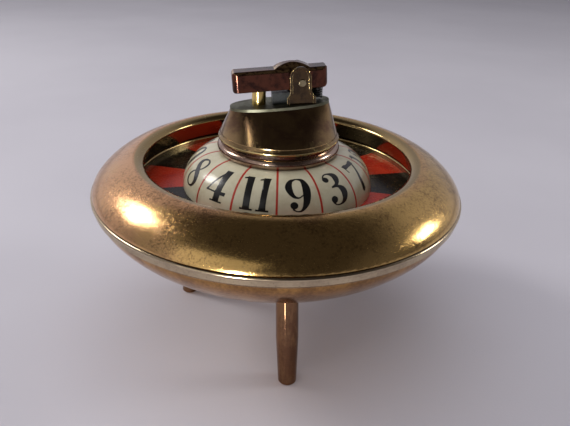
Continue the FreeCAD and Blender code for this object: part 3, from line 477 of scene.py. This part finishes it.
def stroke_quads(knots):
    """The four-cornered pieces that make up a stroke of changing width."""
    line = smooth_stroke(knots)
    sides = []
    for number, spot in enumerate(line):
        ahead = line[min(number + 1, len(line) - 1)]
        behind = line[max(number - 1, 0)]
        across = Vector((behind.y - ahead.y, ahead.x - behind.x)).normalized() * spot.z * NUMERAL_WEIGHT / 2
        sides.append((Vector(spot[:2]) + across, Vector(spot[:2]) - across))
    return [[a[0], a[1], b[1], b[0]] for a, b in zip(sides, sides[1:])]


def ball(x, y, radius, corners=18):
    """A round end of a stroke."""
    turns = [FULL * corner / corners for corner in range(corners)]
    return [Vector((x + radius * math.cos(turn), y + radius * math.sin(turn))) for turn in turns]


def block(left, low, right, high):
    """An upright rectangle."""
    return [Vector((left, low)), Vector((right, low)), Vector((right, high)), Vector((left, high))]


def strokes(*lines):
    """The four-cornered pieces of several strokes."""
    return [quad for knots in lines for quad in stroke_quads(knots)]


def digit_shapes():
    """The digits 0 to 9, one unit high, as (width, polygons). A stroke's knots are (x, y, width)."""
    ring = [(0.31, 0.98, 0.035), (0.14, 0.86, 0.1), (0.085, 0.5, 0.16), (0.14, 0.14, 0.1),
            (0.31, 0.02, 0.035), (0.48, 0.14, 0.1), (0.535, 0.5, 0.16), (0.48, 0.86, 0.1),
            (0.31, 0.98, 0.035)]
    zero = strokes(ring)

    flag = [Vector((0.16, 1.0)), Vector((0.0, 0.945)), Vector((0.0, 0.9)), Vector((0.16, 0.93))]
    one = [block(0.09, 0.0, 0.29, 1.0), block(0.01, 0.0, 0.37, 0.05), flag]

    swan = [(0.07, 0.84, 0.03), (0.17, 0.96, 0.035), (0.32, 0.965, 0.06), (0.48, 0.85, 0.15),
            (0.47, 0.68, 0.16), (0.33, 0.45, 0.09), (0.14, 0.22, 0.045), (0.06, 0.07, 0.04)]
    wave = [(0.05, 0.05, 0.05), (0.2, 0.12, 0.11), (0.38, 0.07, 0.14), (0.5, 0.08, 0.07),
            (0.56, 0.24, 0.03)]
    two = strokes(swan, wave) + [ball(0.14, 0.77, 0.09)]

    upper = [(0.09, 0.87, 0.03), (0.19, 0.965, 0.035), (0.32, 0.97, 0.05), (0.45, 0.87, 0.14),
             (0.46, 0.73, 0.15), (0.38, 0.59, 0.08), (0.2, 0.535, 0.035)]
    lower = [(0.2, 0.535, 0.03), (0.38, 0.53, 0.06), (0.5, 0.42, 0.15), (0.53, 0.27, 0.17),
             (0.46, 0.1, 0.11), (0.32, 0.022, 0.035), (0.18, 0.035, 0.03), (0.1, 0.12, 0.04)]
    three = strokes(upper, lower) + [ball(0.14, 0.8, 0.09), ball(0.15, 0.19, 0.1)]

    slope = [(0.4, 0.98, 0.05), (0.2, 0.63, 0.045), (0.03, 0.27, 0.045)]
    four = strokes(slope) + [block(0.3, 0.0, 0.5, 1.0), block(0.21, 0.0, 0.6, 0.045),
                             block(0.0, 0.25, 0.64, 0.295), block(0.49, 0.22, 0.64, 0.32)]

    top = [(0.11, 0.91, 0.04), (0.26, 0.93, 0.1), (0.42, 0.94, 0.09), (0.52, 0.99, 0.03)]
    belly = [(0.1, 0.5, 0.03), (0.24, 0.6, 0.035), (0.4, 0.575, 0.09), (0.51, 0.43, 0.15),
             (0.52, 0.26, 0.17), (0.46, 0.09, 0.11), (0.3, 0.022, 0.035), (0.17, 0.035, 0.03),
             (0.09, 0.12, 0.04)]
    five = strokes(top, belly) + [block(0.09, 0.5, 0.125, 0.93), ball(0.14, 0.19, 0.095)]

    loop = [(0.31, 0.98, 0.03), (0.16, 0.9, 0.09), (0.085, 0.69, 0.15), (0.16, 0.47, 0.09),
            (0.3, 0.395, 0.035), (0.45, 0.47, 0.03)]
    tail = [(0.31, 0.98, 0.03), (0.46, 0.91, 0.09), (0.53, 0.63, 0.17), (0.5, 0.28, 0.15),
            (0.38, 0.06, 0.06), (0.25, 0.022, 0.03), (0.13, 0.09, 0.04)]
    nine = strokes(loop, tail) + [ball(0.17, 0.19, 0.1)]
    six = [[Vector((0.62 - p.x, 1 - p.y)) for p in polygon] for polygon in nine]

    leg = [(0.55, 0.97, 0.05), (0.42, 0.68, 0.06), (0.3, 0.38, 0.1), (0.27, 0.06, 0.15)]
    seven = strokes(leg) + [block(0.06, 0.85, 0.57, 1.0), block(0.035, 0.72, 0.075, 1.0),
                            ball(0.27, 0.075, 0.075)]

    spine = [(0.31, 0.98, 0.035), (0.16, 0.9, 0.08), (0.13, 0.76, 0.12), (0.25, 0.6, 0.15),
             (0.42, 0.43, 0.16), (0.52, 0.24, 0.13), (0.46, 0.08, 0.07), (0.31, 0.02, 0.035)]
    back = [(0.31, 0.02, 0.035), (0.14, 0.08, 0.05), (0.065, 0.24, 0.07), (0.16, 0.42, 0.045),
            (0.31, 0.53, 0.035), (0.44, 0.64, 0.04), (0.49, 0.78, 0.06), (0.44, 0.91, 0.05),
            (0.31, 0.98, 0.035)]
    eight = strokes(spine, back)

    widths = (0.62, 0.36, 0.6, 0.62, 0.64, 0.6, 0.62, 0.58, 0.62, 0.62)
    return list(zip(widths, (zero, one, two, three, four, five, six, seven, eight, nine)))


DIGITS = digit_shapes()


def number_polygons(number):
    """Polygons of a whole number in mm, centred across, standing on zero."""
    digits = [int(letter) for letter in str(number)]
    squeeze = NARROWED
    if len(digits) == 1:
        squeeze = NUMERAL_STRETCH
    if number == 11:
        squeeze = 1.0
    total = squeeze * sum(DIGITS[d][0] for d in digits) + DIGIT_GAP * (len(digits) - 1)
    left = -total / 2
    polygons = []
    for digit in digits:
        width, outlines = DIGITS[digit]
        for outline in outlines:
            polygons.append([Vector((left + squeeze * p.x, p.y)) * NUMERAL_HEIGHT for p in outline])
        left += squeeze * width + DIGIT_GAP
    return polygons


def filled(polygons, spacing=0.55):
    """Triangles that fill the union of the polygons, small enough to bend: (points, triangles)."""
    points, faces = [], []
    for polygon in polygons:
        faces.append(list(range(len(points), len(points) + len(polygon))))
        points += polygon
    low_x, high_x = min(p.x for p in points), max(p.x for p in points)
    low_y, high_y = min(p.y for p in points), max(p.y for p in points)
    for row in range(1, int((high_y - low_y) / spacing)):
        shift = 0.5 * (row % 2)
        for column in range(int((high_x - low_x) / spacing)):
            points.append(Vector((low_x + (column + shift + 0.25) * spacing, low_y + row * spacing)))
    made = delaunay_2d_cdt(points, [], faces, 1, 1e-4)
    inside = [face for face, sources in zip(made[2], made[5]) if sources]
    return made[0], inside


def raised(flat_points, triangles, place):
    """A thin closed sheet: place(point, lift) carries a flat point to the surface."""
    count = len(flat_points)
    points = [place(p, INK_PROUD) for p in flat_points] + [place(p, INK_SUNK) for p in flat_points]
    edges = {}
    faces = []
    for triangle in triangles:
        faces.append(list(triangle))
        faces.append([count + corner for corner in reversed(triangle)])
        for start, end in zip(triangle, triangle[1:] + triangle[:1]):
            edges[(start, end)] = True
    for start, end in edges:
        if (end, start) not in edges:
            faces.append([end, start, count + start, count + end])
    return points, faces


def add_numbers():
    """The black numbers, one in the middle of each sector."""
    points, faces = [], []
    for sector, number in enumerate(NUMBERS):
        middle = FIRST_LINE + FULL * (sector + 0.5) / SECTORS

        def place(spot, lift, middle=middle):
            climb = NUMERAL_FOOT + 2 * spot.y / (DOME_REACH + DOME_RISE)
            return on_dome(middle + spot.x / dome_radius(climb), climb, lift)

        flat, triangles = filled(number_polygons(number))
        new_points, new_faces = raised(flat, triangles, place)
        faces += [[len(points) + corner for corner in face] for face in new_faces]
        points += new_points
    return add_piece("dome_numbers", points, faces, BLACK_INK, "wheel")


def patch(across, along, place):
    """A thin closed four-sided sheet: place(u, v, lift) with u and v from 0 to 1."""
    flat = [Vector((u / across, v / along)) for v in range(along + 1) for u in range(across + 1)]
    triangles = []
    for v in range(along):
        for u in range(across):
            corner = v * (across + 1) + u
            triangles.append([corner, corner + 1, corner + across + 2])
            triangles.append([corner, corner + across + 2, corner + across + 1])
    return raised(flat, triangles, lambda spot, lift: place(spot.x, spot.y, lift))


LINE_WIDTH = 0.6


def add_lines():
    """The red lines between the numbers."""
    points, faces = [], []
    for sector in range(SECTORS):
        angle = FIRST_LINE + FULL * sector / SECTORS

        def place(u, v, lift, angle=angle):
            climb = v * math.pi / 2
            return on_dome(angle + (u - 0.5) * LINE_WIDTH / dome_radius(climb), climb, lift)

        new_points, new_faces = patch(2, 30, place)
        faces += [[len(points) + corner for corner in face] for face in new_faces]
        points += new_points
    return add_piece("dome_lines", points, faces, RED_LINE_INK, "wheel")


DISC_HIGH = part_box("printed_disc")[1] / MM
PRINT_INNER_R = DOME_HIGH.x - 0.3
PRINT_OUTER_R = DISC_HIGH.x - 0.05


def add_sectors(name, first, material):
    """Every second sector of the printed disc."""
    points, faces = [], []
    for sector in range(first, SECTORS, 2):
        start = FIRST_LINE + FULL * sector / SECTORS

        def place(u, v, lift, start=start):
            angle = start + u * FULL / SECTORS
            radius = PRINT_OUTER_R + v * (PRINT_INNER_R - PRINT_OUTER_R)
            return (radius * math.cos(angle), radius * math.sin(angle), DISC_HIGH.z + lift / 2)

        new_points, new_faces = patch(16, 4, place)
        faces += [[len(points) + corner for corner in face] for face in new_faces]
        points += new_points
    return add_piece(name, points, faces, material, "wheel")


dome_numbers = add_numbers()
dome_lines = add_lines()
add_sectors("disc_red", 0, DISC_RED_INK)
add_sectors("disc_black", 1, DISC_BLACK_INK)


SPRING_WIRE_R = 0.35
SPRING_TURNS = 4
STEPS_A_TURN = 40
WIRE_CORNERS = 12


def add_lever_spring():
    """The coil under the thumb-piece, built at its resting length; on the object it shortens as the lever is
    pressed, which this piece does not do.
    """
    low, high = (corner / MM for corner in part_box("lever_spring"))
    middle = (low + high) / 2
    coil_r = (high.x - low.x) / 2 - SPRING_WIRE_R
    rise = high.z - low.z - 2 * SPRING_WIRE_R
    along = STEPS_A_TURN * SPRING_TURNS
    points, faces = [], []
    for step in range(along + 1):
        turn = FULL * SPRING_TURNS * step / along
        out = Vector((math.cos(turn), math.sin(turn), 0))
        centre = Vector((middle.x, middle.y, low.z + SPRING_WIRE_R + rise * step / along)) + out * coil_r
        for corner in range(WIRE_CORNERS):
            angle = FULL * corner / WIRE_CORNERS
            points.append(centre + SPRING_WIRE_R * (out * math.cos(angle) + Vector((0, 0, math.sin(angle)))))
    for step in range(along):
        for corner in range(WIRE_CORNERS):
            following = (corner + 1) % WIRE_CORNERS
            faces.append([step * WIRE_CORNERS + corner, step * WIRE_CORNERS + following,
                          (step + 1) * WIRE_CORNERS + following, (step + 1) * WIRE_CORNERS + corner])
    faces.append(list(range(WIRE_CORNERS)))
    faces.append([along * WIRE_CORNERS + corner for corner in reversed(range(WIRE_CORNERS))])
    spring = add_piece("lever_coil", points, faces, FINISHES["spring_steel"], "lighter")
    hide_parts("lever_spring")
    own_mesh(spring)
    return spring


add_lever_spring()


# ---- floor, light and camera --------------------------------------------------------------------
TURN_BACK = Matrix.Rotation(-OBJECT_TURN, 4, "Z")


def add_floor():
    """A plain pale table top."""
    finish = Finish("floor_paper", Specular_IOR_Level=0.3)
    cloud = finish.noise(160.0, 3.0)
    fibre = finish.noise(0.8, 3.0)
    tint = finish.blend(finish.between(cloud, 0.3, 0.7), (0.58, 0.565, 0.62), (0.62, 0.605, 0.66))
    material = finish.finish(tint, finish.spread(fibre, 0.55, 0.7), finish.relief((fibre, 0.03)))
    half = 4000
    corners = [(-half, -half, 0), (half, -half, 0), (half, half, 0), (-half, half, 0)]
    mesh = bpy.data.meshes.new("floor")
    mesh.from_pydata([Vector(corner) * MM for corner in corners], [], [[0, 1, 2, 3]])
    mesh.materials.append(material)
    floor = bpy.data.objects.new("floor", mesh)
    bpy.context.scene.collection.objects.link(floor)
    return floor


def add_light(name, azimuth, elevation, distance, width, height, glow, colour):
    """A soft panel that looks at the object; azimuth 90 is behind it as the camera sees it."""
    data = bpy.data.lights.new(name, "AREA")
    data.shape = "RECTANGLE"
    data.size = width * MM
    data.size_y = height * MM
    data.energy = glow * math.pi * data.size * data.size_y
    data.color = colour
    light = bpy.data.objects.new(name, data)
    bpy.context.scene.collection.objects.link(light)
    a, e = math.radians(azimuth), math.radians(elevation)
    out = Vector((math.cos(a) * math.cos(e), math.sin(a) * math.cos(e), math.sin(e)))
    target = Vector((0, 0, 50 * MM))
    facing = out.to_track_quat("Z", "Y").to_matrix().to_4x4()
    light.matrix_world = TURN_BACK @ Matrix.Translation(target + out * distance * MM) @ facing
    return light


def light_only(light, pieces, only):
    """Let a light reach only these pieces, or everything but them."""
    chosen = bpy.data.collections.new(light.name + "_reach")
    for piece in pieces:
        chosen.objects.link(piece)
    for link in chosen.collection_objects:
        link.light_linking.link_state = "INCLUDE" if only else "EXCLUDE"
    light.light_linking.receiver_collection = chosen


def add_world():
    """A dim room: dark in front and overhead, pale behind and at the left."""
    world = bpy.data.worlds.new("room")
    world.use_nodes = True
    room = Graph(world.node_tree)
    seen = room.node("ShaderNodeTexCoord").outputs["Generated"]
    seen = room.scaled(seen, (1.0, 1.0, 1.0), (0.0, 0.0, OBJECT_TURN))
    x, y, z = (room.part(seen, name) for name in "XYZ")
    behind = room.between(y, -0.1, 0.5)
    left = room.between(room.total((x, -1.0), (y, 0.2)), 0.1, 0.6)
    right = room.between(x, 0.5, 1.0)
    level = room.total((behind, 0.42), (left, 0.3), (right, 0.1))
    share = room.math("MULTIPLY", level, room.between(z, 0.88, 0.6))
    background = world.node_tree.nodes["Background"]
    room.feed(background.inputs["Color"], room.blend(share, (0.04, 0.035, 0.034), (0.9, 0.88, 0.97)))
    bpy.context.scene.world = world


def add_camera():
    """The camera, which looks down at the object with a slight roll."""
    data = bpy.data.cameras.new("camera")
    data.sensor_width = 36.0
    data.lens = CAMERA_LENS
    data.clip_start = 10 * MM
    data.clip_end = 20.0
    camera = bpy.data.objects.new("camera", data)
    bpy.context.scene.collection.objects.link(camera)
    look = Matrix.Rotation(math.pi / 2 - CAMERA_PITCH, 4, "X") @ Matrix.Rotation(CAMERA_ROLL, 4, "Z")
    camera.matrix_world = TURN_BACK @ Matrix.Translation(Vector(CAMERA_PLACE) * MM) @ look
    bpy.context.scene.camera = camera


bpy.context.scene.view_settings.view_transform = "Standard"
floor = add_floor()
add_world()
window_left = add_light("window_left", 163, 35, 900, 230, 230, 17.0, (1.0, 0.98, 0.95))
window_edge = add_light("window_edge", 159, 62, 900, 400, 30, 7.0, (1.0, 0.98, 0.93))
window_low = add_light("window_low", 236, 22, 900, 760, 820, 0.42, (1.0, 0.98, 0.95))
window_slit = add_light("window_slit", 253, -4, 260, 26, 56, 110.0, (1.0, 0.98, 0.95))
leg_glint = add_light("leg_glint", 258, -18.5, 138, 12, 14, 14.0, (1.0, 0.98, 0.95))
window_right = add_light("window_right", 10, 21, 900, 240, 160, 13.0, (1.0, 0.98, 0.94))
ceiling = add_light("ceiling", 220, 78, 1000, 1200, 1200, 1.25, (0.98, 0.965, 1.0))
window_slit.visible_camera = False
leg_glint.visible_camera = False
ceiling.visible_glossy = False
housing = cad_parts["lighter_housing"]
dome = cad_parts["number_dome"]
legs = [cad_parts[name] for name in ("leg_1", "leg_2", "leg_3")]
light_only(window_slit, [floor], False)
light_only(leg_glint, legs, True)
light_only(window_left, [housing], False)
light_only(window_edge, [housing], True)
light_only(window_right, [housing, dome, dome_numbers, dome_lines], False)
add_camera()
